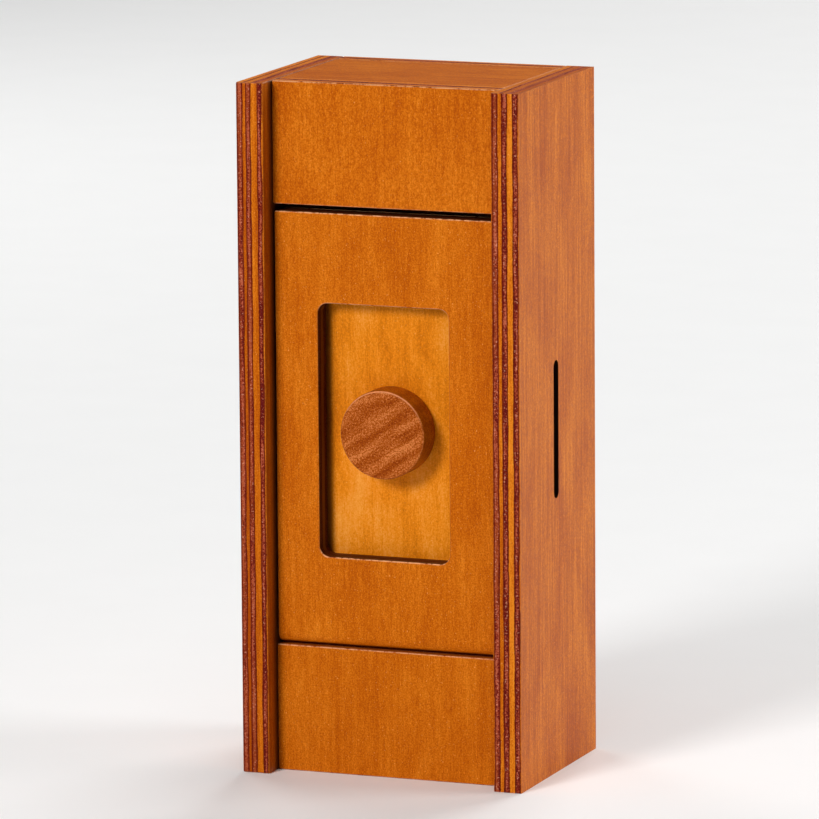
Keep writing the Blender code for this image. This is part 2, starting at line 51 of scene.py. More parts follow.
# Ply thicknesses in mm from the outer face inwards. Odd plies run along the board, even ones across it.
RIGHT_WALL_PLIES = (0.12, 1.31, 1.14, 1.33, 0.72, 1.42, 0.16)
LEFT_WALL_PLIES = (0.10, 1.45, 0.56, 1.32, 1.32, 1.17, 0.28)
FRONT_PLIES = (0.32, 1.40, 1.56, 1.40, 0.32)
PANEL_PLIES = (0.35, 1.90, 0.35)
# Of a raw board's thickness, the share of its face plies and of its core
RAW_PLIES = (0.2, 0.6, 0.2)
GLUE_LINE = 0.34
# A ply's borders waver by this much in mm, in so many cycles per mm, and are ragged on top of that
WAVER = 0.45
WAVER_SCALE = 0.10
RAGGEDNESS = 0.24
RAGGED_SCALE = 1.8
# Plies differ in tone by a wave over their number, which starts elsewhere on each board
TONE_STEP = 2.4
TONE_START = 3.07
TONE_BY_SEED = 3.13
# Noises are moved off by this much in mm for each seed
SEED_STEP = (37.7, 11.3, 23.9)

# Colours (linear)
STAIN_DARK = (0.376, 0.062, 0.0005)
STAIN_MID = (0.545, 0.122, 0.0014)
STAIN_LIGHT = (0.75, 0.225, 0.012)
GLUE_RED = (0.120, 0.006, 0.0005)
END_DARK = (0.110, 0.006, 0.005)
END_MID = (0.265, 0.029, 0.009)
END_LIGHT = (0.46, 0.100, 0.045)
END_RUSTY = (0.32, 0.055, 0.008)
# Painted glints on end grain
END_GLINT = (0.76, 0.33, 0.20)
# Bare wood on worn arrises, also used as their painted highlight
WORN_AND_HIGHLIGHT = (0.86, 0.42, 0.19)
# Painted glints on long grain
PAINTED_GLINT = (0.90, 0.46, 0.12)
# Dark end grain of the lid's cut edges; the same colour also serves as painted shade on the walls' corners
# and on the panel
CUT_EDGE_AND_SHADE = (0.035, 0.007, 0.001)
SLOT_DARK = (0.010, 0.003, 0.001)
PANEL_DARK = (0.55, 0.130, 0.0016)
PANEL_MID = (0.81, 0.239, 0.006)
PANEL_LIGHT = (0.92, 0.370, 0.060)
KNOB_DARK = (0.215, 0.030, 0.0010)
KNOB_MID = (0.356, 0.068, 0.0018)
KNOB_LIGHT = (0.64, 0.200, 0.050)
KNOB_SIDE_DARK = (0.30, 0.055, 0.0015)
KNOB_SIDE_LIGHT = (0.56, 0.150, 0.004)
# Painted highlight on the knob's upper rim
KNOB_RIM_HIGHLIGHT = (0.90, 0.36, 0.16)
RAW_DARK = (0.45, 0.27, 0.12)
RAW_MID = (0.66, 0.44, 0.22)
RAW_LIGHT = (0.80, 0.60, 0.36)
RAW_GLUE = (0.16, 0.080, 0.035)
RAW_END_DARK = (0.24, 0.130, 0.055)
RAW_END_MID = (0.38, 0.220, 0.100)
RAW_END_LIGHT = (0.52, 0.340, 0.170)
RAW_END_RUSTY = (0.42, 0.240, 0.100)
RAW_END_GLINT = (0.62, 0.450, 0.270)

# Metals (linear), with their roughness
BRASS = (0.72, 0.50, 0.20)
BRASS_ROUGHNESS = 0.22
STEEL = (0.62, 0.62, 0.64)
STEEL_ROUGHNESS = 0.20

# Each wood's long grain, from dark to light
STAIN = (STAIN_DARK, STAIN_MID, STAIN_LIGHT)
PANEL = (PANEL_DARK, PANEL_MID, PANEL_LIGHT)
RAW = (RAW_DARK, RAW_MID, RAW_LIGHT)
# Each wood's end grain, from dark to light, then its rusty zones, its painted glints and its glue lines
STAINED_ENDS = (END_DARK, END_MID, END_LIGHT, END_RUSTY, END_GLINT, GLUE_RED)
RAW_ENDS = (RAW_END_DARK, RAW_END_MID, RAW_END_LIGHT, RAW_END_RUSTY, RAW_END_GLINT, RAW_GLUE)

# Noises in cycles per mm, across, through and along the fibres
STREAKS = (1.1, 1.1, 0.030)
FIBRES = (3.4, 3.4, 0.42)
CLOUDS = (0.11, 0.11, 0.05)
FLECKS = (3.6, 3.6, 2.7)
# The same for cut ends, where they are stretched along the ply both ways
MOTTLE = (0.11, 1.5, 0.11)
RUST = (0.035, 1.0, 0.035)
# Noises in cycles per mm, alike every way
GRIT = 2.6
GLINT_SCALE = 2.8
PATCHES = 0.8

# How much streaks, fibres, clouds and flecks show in the long grain
BOARD_TEXTURE = (0.45, 0.60, 0.60, 1.4)
WALL_TEXTURE = (1.15, 0.75, 0.75, 1.35)
PANEL_TEXTURE = (0.35, 0.50, 1.20, 0.9)

# Shine of sawn edges and stained fronts, which is less than that of the waxed walls and the raw wood
SAWN_SPECULAR = 0.04
WALL_SPECULAR = 0.12
RAW_SPECULAR = 0.20
KNOB_SPECULAR = 0.05

# Cosines between which a surface turns from lying along an axis to facing along it
ALONG = 0.35
FACING = 0.75

# A worn arris, with its painted highlight, is bare at the first distance in mm and stained again at the
# second
WORN_TO = 0.16
WORN_OUT = 0.40
# How bare an arris is worn that looks sideways, up and down; on arrises that look up this is mostly a painted
# highlight
SIDEWAYS_WEAR = 0.06
UPWARD_WEAR_AND_HIGHLIGHT = 1.0
DOWNWARD_WEAR = 0.40
# Depths in mm behind a wall's front edge between which painted shade deepens on the wall's inner side, in its
# corner with the lid
CORNER_SHADE_FROM_TO = (1.6, 4.8)
# Width in mm of the painted shade on the panel beside the window's left edge
SIDE_SHADE_WIDTH = 1.9

# Half the box's height, where the slot, the window and the knob have their middles
MIDDLE = 75.0 * MM
# The coin slot in the right wall
SLOT_DEPTH = -1.1 * MM
SLOT_WIDTH = 3.0 * MM
SLOT_LENGTH = 30.0 * MM
# Corner radius of a round end over its width: a hair under half, so that no two points meet
ROUND_END = 0.4997
# The lid's window lies a little left of the lid's middle
WINDOW_OFFSET = -0.3 * MM
WINDOW_WIDTH = 29.8 * MM
WINDOW_HEIGHT = 55.0 * MM
WINDOW_CORNER = 2.2 * MM
# The lid turns on two pins, in bores that are a little wider and longer than they are
PIN_BORE = 2.6 * MM
PIN_BORE_CORNER = 1.299 * MM
PIN_PLAY = 0.3 * MM
LID_ARC_STEPS = 12
CORNER_STEPS = 10

# The knob's dark bands, in mm from one to the next, and their rise to the right
BAND_SPACING = 4.2
BAND_RISE = math.radians(33.0)
# Where the painted highlight on its rim begins and is full, in mm in from its edge
RIM_HIGHLIGHT_START = 0.38
RIM_HIGHLIGHT_FULL = 0.26

# The stage
FLOOR_SIZE = 6.0
PAPER_DARK = (0.915, 0.915, 0.91)
PAPER_LIGHT = (0.925, 0.925, 0.92)
WORLD_STRENGTH = 0.07

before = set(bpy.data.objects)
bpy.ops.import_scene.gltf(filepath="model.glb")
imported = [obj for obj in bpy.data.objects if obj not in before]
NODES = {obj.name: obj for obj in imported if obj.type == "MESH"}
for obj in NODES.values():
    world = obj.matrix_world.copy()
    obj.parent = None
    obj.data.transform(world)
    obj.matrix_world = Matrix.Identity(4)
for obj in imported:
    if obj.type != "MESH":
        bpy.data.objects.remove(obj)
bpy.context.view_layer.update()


class Graph:
    """Short names for building a material's nodes."""

    def __init__(self, name):
        self.material = bpy.data.materials.new(name)
        self.material.use_nodes = True
        self.tree = self.material.node_tree
        self.tree.nodes.clear()
        self.shader = self.tree.nodes.new("ShaderNodeBsdfPrincipled")
        output = self.tree.nodes.new("ShaderNodeOutputMaterial")
        self.tree.links.new(self.shader.outputs["BSDF"], output.inputs["Surface"])
        self.coordinates = self.tree.nodes.new("ShaderNodeTexCoord")

    def set(self, socket, value):
        """Link another node's output to the socket, or set the socket's own value."""
        if isinstance(value, bpy.types.NodeSocket):
            self.tree.links.new(value, socket)
        elif isinstance(value, (tuple, list, Vector)) and len(socket.default_value) == 4:
            socket.default_value = (*value, 1.0)
        else:
            socket.default_value = value

    def math(self, operation, a, b=0.0, c=None):
        node = self.tree.nodes.new("ShaderNodeMath")
        node.operation = operation
        self.set(node.inputs[0], a)
        self.set(node.inputs[1], b)
        if c is not None:
            self.set(node.inputs[2], c)
        return node.outputs[0]

    def vector_math(self, operation, a, b):
        node = self.tree.nodes.new("ShaderNodeVectorMath")
        node.operation = operation
        self.set(node.inputs[0], a)
        self.set(node.inputs[1], b)
        return node.outputs["Value"] if operation == "DOT_PRODUCT" else node.outputs["Vector"]

    def scaled(self, vector, scale):
        return self.vector_math("MULTIPLY", vector, scale)

    def split(self, vector):
        node = self.tree.nodes.new("ShaderNodeSeparateXYZ")
        self.set(node.inputs[0], vector)
        return node.outputs[0], node.outputs[1], node.outputs[2]

    def join(self, x, y, z):
        node = self.tree.nodes.new("ShaderNodeCombineXYZ")
        for socket, value in zip(node.inputs, (x, y, z)):
            self.set(socket, value)
        return node.outputs[0]

    def noise(self, vector, scale=1.0, detail=2.0, roughness=0.5, distortion=0.0):
        node = self.tree.nodes.new("ShaderNodeTexNoise")
        self.set(node.inputs["Vector"], vector)
        node.inputs["Scale"].default_value = scale
        node.inputs["Detail"].default_value = detail
        node.inputs["Roughness"].default_value = roughness
        node.inputs["Distortion"].default_value = distortion
        return node.outputs["Fac"]

    def ramp(self, factor, stops, constant=False):
        node = self.tree.nodes.new("ShaderNodeValToRGB")
        ramp = node.color_ramp
        ramp.interpolation = "CONSTANT" if constant else "LINEAR"
        while len(ramp.elements) > 1:
            ramp.elements.remove(ramp.elements[-1])
        for index, (position, colour) in enumerate(stops):
            stop = ramp.elements[0] if index == 0 else ramp.elements.new(position)
            stop.position = position
            stop.color = (*colour, 1.0)
        self.set(node.inputs["Fac"], factor)
        return node.outputs["Color"]

    def between(self, value, low, high, out_low=0.0, out_high=1.0):
        """Value carried smoothly from low..high to out_low..out_high."""
        node = self.tree.nodes.new("ShaderNodeMapRange")
        node.interpolation_type = "SMOOTHSTEP"
        self.set(node.inputs["Value"], value)
        self.set(node.inputs["From Min"], low)
        self.set(node.inputs["From Max"], high)
        self.set(node.inputs["To Min"], out_low)
        self.set(node.inputs["To Max"], out_high)
        return node.outputs["Result"]

    def mix(self, factor, a, b, kind="RGBA"):
        node = self.tree.nodes.new("ShaderNodeMix")
        node.data_type = kind
        first, second, result = {
            "RGBA": ("A_Color", "B_Color", "Result_Color"),
            "FLOAT": ("A_Float", "B_Float", "Result_Float"),
            "VECTOR": ("A_Vector", "B_Vector", "Result_Vector"),
        }[kind]
        sockets = {socket.identifier: socket for socket in node.inputs}
        results = {socket.identifier: socket for socket in node.outputs}
        self.set(sockets["Factor_Float"], factor)
        self.set(sockets[first], a)
        self.set(sockets[second], b)
        return results[result]

    def bump(self, height, distance):
        node = self.tree.nodes.new("ShaderNodeBump")
        node.inputs["Strength"].default_value = 1.0
        node.inputs["Distance"].default_value = distance
        self.set(node.inputs["Height"], height)
        return node.outputs["Normal"]

    def finish(self, colour, roughness, normal=None, specular=0.5, metallic=0.0):
        self.set(self.shader.inputs["Base Color"], colour)
        self.set(self.shader.inputs["Roughness"], roughness)
        if normal is not None:
            self.set(self.shader.inputs["Normal"], normal)
        self.shader.inputs["Metallic"].default_value = metallic
        self.set(self.shader.inputs["Specular IOR Level"], specular)
        return self.material


AXES = {"X": 0, "Y": 1, "Z": 2}
UNITS = {"X": (1.0, 0.0, 0.0), "Y": (0.0, 1.0, 0.0), "Z": (0.0, 0.0, 1.0)}


def in_mm(graph, seed):
    """Place in the row frame in mm, and the same place moved off by a seed, for noises."""
    place = graph.scaled(graph.coordinates.outputs["Object"], (1000.0, 1000.0, 1000.0))
    shifted = graph.vector_math("ADD", place, tuple(seed * step for step in SEED_STEP))
    return place, shifted


def edge_distance(graph, place, low, high):
    """Distance in mm to the nearest arris of a box, for a point on its surface."""
    distances = []
    for axis, part in enumerate(graph.split(place)):
        from_low = graph.math("SUBTRACT", part, low[axis] / MM)
        from_high = graph.math("SUBTRACT", high[axis] / MM, part)
        distances.append(graph.math("MINIMUM", from_low, from_high))
    a, b, c = distances
    nearer = graph.math("MINIMUM", a, b)
    further = graph.math("MAXIMUM", a, b)
    return graph.math("MAXIMUM", nearer, graph.math("MINIMUM", further, c))


def hypotenuse(graph, a, b):
    squares = graph.math("ADD", graph.math("POWER", a, 2.0), graph.math("POWER", b, 2.0))
    return graph.math("SQRT", squares)


def window_distance(graph, place, centre, half_width, half_height, corner, face):
    """Distance in mm to the rim of a round-cornered window cut through a face at y = face."""
    x, y, z = graph.split(place)
    across = graph.math("ABSOLUTE", graph.math("SUBTRACT", x, centre[0] / MM))
    up = graph.math("ABSOLUTE", graph.math("SUBTRACT", z, centre[2] / MM))
    over_x = graph.math("MAXIMUM", graph.math("SUBTRACT", across, (half_width - corner) / MM), 0.0)
    over_z = graph.math("MAXIMUM", graph.math("SUBTRACT", up, (half_height - corner) / MM), 0.0)
    reach = hypotenuse(graph, over_x, over_z)
    to_side = graph.math("ABSOLUTE", graph.math("SUBTRACT", reach, corner / MM))
    to_face = graph.math("ABSOLUTE", graph.math("SUBTRACT", y, face / MM))
    return graph.math("MAXIMUM", to_side, to_face)


def ply_stops(plies, seed):
    """Ramp stops over a board's thickness: red is 1 on crossed plies, green a tone, blue 1 on glue lines."""
    phase = TONE_START + TONE_BY_SEED * seed
    total = sum(plies)
    stops = []
    done = 0.0
    for number, thickness in enumerate(plies):
        crossed = float(number % 2)
        tone = 0.5 + 0.5 * math.sin(number * TONE_STEP + phase)
        stops.append((done / total, (crossed, tone, crossed)))
        if crossed:
            stops.append(((done + GLUE_LINE) / total, (crossed, tone, 0.0)))
            stops.append(((done + thickness - GLUE_LINE) / total, (crossed, tone, crossed)))
        done += thickness
    return stops


def weighed(graph, terms, start=0.5):
    """The start plus the sum of values about 0.5, each with its weight."""
    value = start
    for noise, weight in terms:
        value = graph.math("ADD", value, graph.math("MULTIPLY", graph.math("SUBTRACT", noise, 0.5), weight))
    return value


class Board(NamedTuple):
    """A plywood board. Its outer face is on the high or the low side of its thickness."""

    name: str
    low: Vector
    high: Vector
    thick: str
    grain: str
    outer_high: bool
    plies: tuple
    seed: int


class Plywood:
    """Node values that the steps of painting one board share."""

    def __init__(self, board):
        self.board = board
        self.graph = graph = Graph(board.name + "_wood")
        self.place, self.shifted = in_mm(graph, board.seed)
        self.normal = graph.coordinates.outputs["Normal"]
        cross = ({"X", "Y", "Z"} - {board.thick, board.grain}).pop()
        parts = graph.split(self.shifted)
        along, across, deep = parts[AXES[board.grain]], parts[AXES[cross]], parts[AXES[board.thick]]
        self.find_ply(along, across, deep)

        # How squarely the surface cuts this ply's fibres
        self.on_face = self.facing(board.thick)
        self.flat = graph.between(self.on_face, ALONG, FACING)
        self.sawn = graph.between(self.on_face, FACING, ALONG)
        cut = graph.mix(self.crossed, self.facing(board.grain), self.facing(cross), "FLOAT")
        self.end_grain = graph.between(cut, 0.45, 0.8)

        # Noises that run along this ply's fibres, and some that are alike every way
        with_fibres = graph.join(across, deep, along)
        against_fibres = graph.join(along, deep, across)
        self.lengthwise = graph.mix(self.crossed, with_fibres, against_fibres, "VECTOR")
        self.streaks = self.noise(STREAKS, detail=3.0, roughness=0.55, distortion=0.2)
        self.fibres = self.noise(FIBRES, detail=2.0, roughness=0.6)
        self.clouds = self.noise(CLOUDS, detail=3.0, roughness=0.55, distortion=0.4)
        self.flecks = self.noise(FLECKS, detail=2.0, roughness=0.65)
        self.grit = graph.noise(graph.scaled(self.shifted, (GRIT, GRIT, GRIT)), detail=2.0, roughness=0.7)
        self.glints = graph.noise(self.shifted, scale=GLINT_SCALE, detail=1.0)

    def find_ply(self, along, across, deep):
        """This point's depth in mm below the outer face, between wavering borders, and what its ply is."""
        graph, board = self.graph, self.board
        axis = AXES[board.thick]
        depth = graph.split(self.place)[axis]
        if board.outer_high:
            depth = graph.math("SUBTRACT", board.high[axis] / MM, depth)
        else:
            depth = graph.math("SUBTRACT", depth, board.low[axis] / MM)
        along, across = (graph.math("MULTIPLY", part, WAVER_SCALE) for part in (along, across))
        waver = graph.noise(graph.join(along, across, deep), detail=1.0)
        rag = graph.noise(self.shifted, scale=RAGGED_SCALE, detail=2.0)
        self.depth = weighed(graph, ((waver, WAVER), (rag, RAGGEDNESS)), depth)
        share = graph.math("DIVIDE", self.depth, sum(board.plies))
        ply = graph.ramp(share, ply_stops(board.plies, board.seed), constant=True)
        self.crossed, self.tone, self.glued = graph.split(ply)

    def facing(self, axis):
        """1 where the surface faces along an axis, 0 where it lies along it."""
        cosine = self.graph.vector_math("DOT_PRODUCT", self.normal, UNITS[axis])
        return self.graph.math("ABSOLUTE", cosine)

    def noise(self, scales, **shape):
        return self.graph.noise(self.graph.scaled(self.lengthwise, scales), **shape)

    def long_colour(self, palette, texture):
        """Long grain: soft streaks and clouds, with a fine fleck all over and rare painted glints. Sawn plies
        differ in tone.
        """
        graph = self.graph
        dark, middle, light = palette
        value = weighed(graph, zip((self.streaks, self.fibres, self.clouds, self.flecks), texture))
        sawn_tone = graph.math("MULTIPLY", graph.math("SUBTRACT", self.tone, 0.5), self.sawn)
        value = graph.math("ADD", value, graph.math("MULTIPLY", sawn_tone, 0.5))
        colour = graph.ramp(value, [(0.12, dark), (0.5, middle), (0.92, light)])
        # Rare pale dots are painted glints
        return graph.mix(graph.between(self.glints, 0.70, 0.78, 0.0, 0.5), colour, PAINTED_GLINT)

    def end_colour(self, ends):
        """End grain drinks the stain: it is mottled, rusty in places, dark along the glue lines, and dotted
        with painted glints.
        """
        graph = self.graph
        dark, middle, light, rusty, glint, glue = ends
        mottle = self.noise(MOTTLE, detail=4.0, roughness=0.7)
        value = weighed(graph, ((mottle, 3.2), (self.grit, 2.8), (self.tone, 0.25)))
        colour = graph.ramp(value, [(0.15, dark), (0.5, middle), (0.9, light)])
        rust = self.noise(RUST, detail=2.0)
        rusted = graph.between(weighed(graph, ((rust, 2.0), (self.tone, 0.5))), 0.45, 0.9)
        colour = graph.mix(graph.math("MULTIPLY", rusted, 0.6), colour, rusty)
        # Bright dots on the end grain are painted glints
        colour = graph.mix(graph.between(self.glints, 0.60, 0.74, 0.0, 0.60), colour, glint)
        return graph.mix(graph.math("MULTIPLY", self.glued, 0.85), colour, glue)

    def darkened_slot(self, colour, slot):
        """The cut sides of the slot, which hardly any light reaches."""
        graph = self.graph
        centre_y, half_width, centre_z, half_length = slot
        _, y, z = graph.split(self.place)
        inside = self.sawn
        for part, centre, half in ((y, centre_y, half_width), (z, centre_z, half_length)):
            away = graph.math("ABSOLUTE", graph.math("SUBTRACT", part, centre / MM))
            inside = graph.math("MULTIPLY", inside, graph.between(away, half / MM + 0.4, half / MM + 0.2))
        return graph.mix(inside, colour, SLOT_DARK)

    def painted_corner_shade(self, colour):
        """Painted shade on a wall's inner side, in its corner with the lid: light near the front edge, deep
        further in.
        """
        graph, board = self.graph, self.board
        behind = graph.math("SUBTRACT", graph.split(self.place)[1], board.low[1] / MM)
        corner_shade = graph.math("MULTIPLY_ADD", graph.between(behind, *CORNER_SHADE_FROM_TO), 0.62, 0.30)
        thickness = sum(board.plies)
        inner_side = graph.between(self.depth, thickness * 0.5, thickness * 0.9)
        corner_shade = graph.math("MULTIPLY", corner_shade, graph.math("MULTIPLY", inner_side, self.flat))
        return graph.mix(corner_shade, colour, CUT_EDGE_AND_SHADE)

    def painted_side_shade(self, colour, start, end):
        """Painted shade that fades out between two places along X."""
        x = self.graph.split(self.place)[0]
        return self.graph.mix(self.graph.between(x, start, end, 0.85, 0.0), colour, CUT_EDGE_AND_SHADE)

    def worn_and_highlit_edges(self, colour, window, wear_and_highlight):
        """Stain rubbed thin in patches along the arrises, with a painted highlight that makes those that look
        up brightest.
        """
        graph, board = self.graph, self.board
        arris = edge_distance(graph, self.place, board.low, board.high)
        if window:
            arris = graph.math("MINIMUM", arris, window_distance(graph, self.place, *window))
        patchy = graph.noise(self.shifted, scale=PATCHES, detail=3.0, roughness=0.7)
        patchy = graph.between(patchy, 0.34, 0.58)
        # Arrises that look up get a painted highlight on top of their wear
        lift = graph.split(self.normal)[2]
        up_wear_and_highlight = graph.between(lift, 0.15, 0.55, SIDEWAYS_WEAR, UPWARD_WEAR_AND_HIGHLIGHT)
        downward = graph.between(lift, -0.15, -0.55, 0.0, DOWNWARD_WEAR)
        amount = graph.math("MULTIPLY", patchy, graph.math("ADD", up_wear_and_highlight, downward))
        worn_and_highlit = graph.math("MULTIPLY", graph.between(arris, WORN_OUT, WORN_TO), amount)
        return graph.mix(graph.math("MULTIPLY", worn_and_highlit, wear_and_highlight), colour, WORN_AND_HIGHLIGHT)

    def relief(self):
        """Height of the fibres, with the grit of a cut end."""
        graph = self.graph
        height = weighed(graph, ((self.fibres, 0.6), (self.flecks, 0.7), (self.streaks, 0.3)))
        gritty = graph.math("MULTIPLY", graph.math("MULTIPLY", self.grit, self.end_grain), 1.4)
        return graph.bump(graph.math("ADD", height, gritty), 0.05 * MM)

    def roughness(self):
        graph = self.graph
        roughness = graph.math("ADD", graph.math("MULTIPLY", self.flecks, 0.20), 0.34)
        return graph.math("ADD", roughness, graph.math("MULTIPLY", self.end_grain, 0.10))


def plywood(board, palette, wear_and_highlight=1.0, window=None, cut_edges=0.0, slot=None, corner_shade=False, side_shade_span=None,
            specular=SAWN_SPECULAR, texture=BOARD_TEXTURE, ends=STAINED_ENDS):
    """Plywood. Faces show long grain; edges show the plies, dark where a ply's end grain is cut."""
    wood = Plywood(board)
    graph = wood.graph
    colour = graph.mix(wood.end_grain, wood.long_colour(palette, texture), wood.end_colour(ends))
    if cut_edges:
        colour = graph.mix(graph.math("MULTIPLY", wood.sawn, cut_edges), colour, CUT_EDGE_AND_SHADE)
    if slot:
        colour = wood.darkened_slot(colour, slot)
    # A wall's inner side gets painted shade in its corner with the lid
    if corner_shade:
        colour = wood.painted_corner_shade(colour)
    # Painted shade on the panel beside the window's left edge
    if side_shade_span:
        colour = wood.painted_side_shade(colour, *side_shade_span)
    colour = wood.worn_and_highlit_edges(colour, window, wear_and_highlight)
    if specular > SAWN_SPECULAR:
        specular = graph.between(wood.on_face, ALONG, FACING, SAWN_SPECULAR, specular)
    return graph.finish(colour, wood.roughness(), wood.relief(), specular=specular)


def knob_wood(name, low, high, seed):
    """Turned hardwood: wavy dark bands running up to the right, and a speckle of open pores."""
    graph = Graph(name)
    place, shifted = in_mm(graph, seed)
    x, y, z = graph.split(graph.vector_math("SUBTRACT", place, tuple((low + high) / (2 * MM))))
    rise_cos, rise_sin = math.cos(BAND_RISE), math.sin(BAND_RISE)
    along = graph.math("ADD", graph.math("MULTIPLY", x, rise_cos), graph.math("MULTIPLY", z, rise_sin))
    across = graph.math("SUBTRACT", graph.math("MULTIPLY", z, rise_cos), graph.math("MULTIPLY", x, rise_sin))
    sway = graph.noise(graph.scaled(shifted, (0.11, 0.05, 0.11)), detail=2.0)
    phase = graph.math("MULTIPLY", across, 2 * math.pi / BAND_SPACING)
    phase = graph.math("ADD", phase, graph.math("MULTIPLY", y, 0.25))
    phase = graph.math("ADD", phase, graph.math("MULTIPLY", sway, 7.0))
    wave = graph.math("MULTIPLY_ADD", graph.math("SINE", phase), 0.5, 0.5)
    broken = graph.noise(graph.join(graph.math("MULTIPLY", along, 0.14), across, y), detail=2.0)
    specks = graph.noise(shifted, scale=2.5, detail=2.0, roughness=0.7)
    pores = graph.noise(shifted, scale=4.2, detail=1.0)
    value = weighed(graph, ((wave, 0.27), (broken, 0.90), (specks, 1.70), (pores, 1.40)))
    face = graph.ramp(value, [(0.10, KNOB_DARK), (0.5, KNOB_MID), (0.92, KNOB_LIGHT)])
    side = graph.ramp(value, [(0.10, KNOB_SIDE_DARK), (0.90, KNOB_SIDE_LIGHT)])
    normal = graph.coordinates.outputs["Normal"]
    face_on = graph.math("ABSOLUTE", graph.vector_math("DOT_PRODUCT", normal, UNITS["Y"]))
    colour = graph.mix(graph.between(face_on, 0.35, 0.85), side, face)

    # A painted highlight on the turned rim, strongest on its upper arc, which catches the light from above
    reach = hypotenuse(graph, x, z)
    radius = (high.x - low.x) / (2 * MM)
    rim = graph.between(reach, radius - RIM_HIGHLIGHT_START, radius - RIM_HIGHLIGHT_FULL)
    rim = graph.math("MULTIPLY", rim, graph.between(face_on, 0.45, 0.65))
    upper_arc_highlight = graph.between(z, 0.2 * radius, 0.9 * radius, 0.06, 0.70)
    colour = graph.mix(graph.math("MULTIPLY", rim, upper_arc_highlight), colour, KNOB_RIM_HIGHLIGHT)
    height = weighed(graph, ((specks, 1.0), (pores, 0.6)))
    roughness = graph.math("ADD", graph.math("MULTIPLY", specks, 0.2), 0.34)
    return graph.finish(colour, roughness, graph.bump(height, 0.06 * MM), specular=KNOB_SPECULAR)


def metal(name, colour, seed, roughness):
    """Bright metal with fine turning marks and dull smudges."""
    graph = Graph(name)
    _, shifted = in_mm(graph, seed)
    smudges = graph.noise(shifted, scale=0.9, detail=3.0)
    marks = graph.noise(graph.scaled(shifted, (1.2, 14.0, 1.2)), detail=2.0)
    tinted = graph.ramp(smudges, [(0.3, tuple(c * 0.7 for c in colour)), (0.7, colour)])
    rough = graph.math("ADD", graph.math("MULTIPLY", smudges, 0.25), roughness)
    return graph.finish(tinted, rough, graph.bump(marks, 0.01 * MM), metallic=1.0)


def add_mesh_piece(name, mesh):
    """A new object with this mesh, linked to the scene."""
    piece = bpy.data.objects.new(name, mesh)
    bpy.context.scene.collection.objects.link(piece)
    return piece


def box_piece(name, low, high):
    """A plain board between two corners, before its edges are rounded."""
    shape = bmesh.new()
    bmesh.ops.create_cube(shape, size=1.0)
    size = Vector(high) - Vector(low)
    middle = (Vector(high) + Vector(low)) / 2
    for vertex in shape.verts:
        vertex.co = Vector(c * s for c, s in zip(vertex.co, size)) + middle
    mesh = bpy.data.meshes.new(name)
    shape.to_mesh(mesh)
    shape.free()
    return add_mesh_piece(name, mesh)


def prism_between(outline, axis, low, high):
    """Closed prism mesh: a flat outline carried along an axis."""
    place = {
        "X": lambda u, v, w: (w, u, v),
        "Y": lambda u, v, w: (u, w, v),
    }[axis]
    shape = bmesh.new()
    ends = [[shape.verts.new(place(u, v, w)) for u, v in outline] for w in (low, high)]
    shape.faces.new(ends[0])
    shape.faces.new(ends[1])
    for index in range(len(outline)):
        after = (index + 1) % len(outline)
        shape.faces.new((ends[0][index], ends[0][after], ends[1][after], ends[1][index]))
    bmesh.ops.recalc_face_normals(shape, faces=shape.faces)
    mesh = bpy.data.meshes.new("prism")
    shape.to_mesh(mesh)
    shape.free()
    return mesh


def rounded_outline(centre_u, centre_v, width, height, corner):
    """Points round a rectangle with round corners."""
    points = []
    for side_u, side_v, start in ((1, 1, 0.0), (-1, 1, 0.5), (-1, -1, 1.0), (1, -1, 1.5)):
        for step in range(CORNER_STEPS + 1):
            angle = math.pi * (start + 0.5 * step / CORNER_STEPS)
            point = (centre_u + side_u * (width / 2 - corner) + corner * math.cos(angle),
                     centre_v + side_v * (height / 2 - corner) + corner * math.sin(angle))
            if not points or math.dist(points[-1], point) > 1e-7:
                points.append(point)
    if math.dist(points[0], points[-1]) < 1e-7:
        points.pop()
    return points


def apply_modifiers(piece):
    """Bake the modifiers into the mesh."""
    graph = bpy.context.evaluated_depsgraph_get()
    mesh = bpy.data.meshes.new_from_object(piece.evaluated_get(graph))
    piece.modifiers.clear()
    piece.data = mesh


def cut_out(piece, mesh):
    """Cut a closed mesh out of a piece."""
    cutter = add_mesh_piece("cutter", mesh)
    boolean = piece.modifiers.new("cut", "BOOLEAN")
    boolean.operation = "DIFFERENCE"
    boolean.solver = "EXACT"
    boolean.object = cutter
    apply_modifiers(piece)
    bpy.data.objects.remove(cutter)


def round_edges(piece):
    """Round a board's sharp edges."""
    bevel = piece.modifiers.new("round", "BEVEL")
    bevel.width = BOARD_EDGE
    bevel.segments = EDGE_SEGMENTS
    bevel.limit_method = "ANGLE"
    bevel.angle_limit = math.radians(40.0)
    bevel.harden_normals = True
    piece.data.shade_smooth()
    apply_modifiers(piece)


def stand_for(piece, node, body, material):
    """Paint a new piece and show it instead of a CAD node, on that node's body."""
    piece.data.materials.clear()
    piece.data.materials.append(material)
    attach(piece, body)
    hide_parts(node)


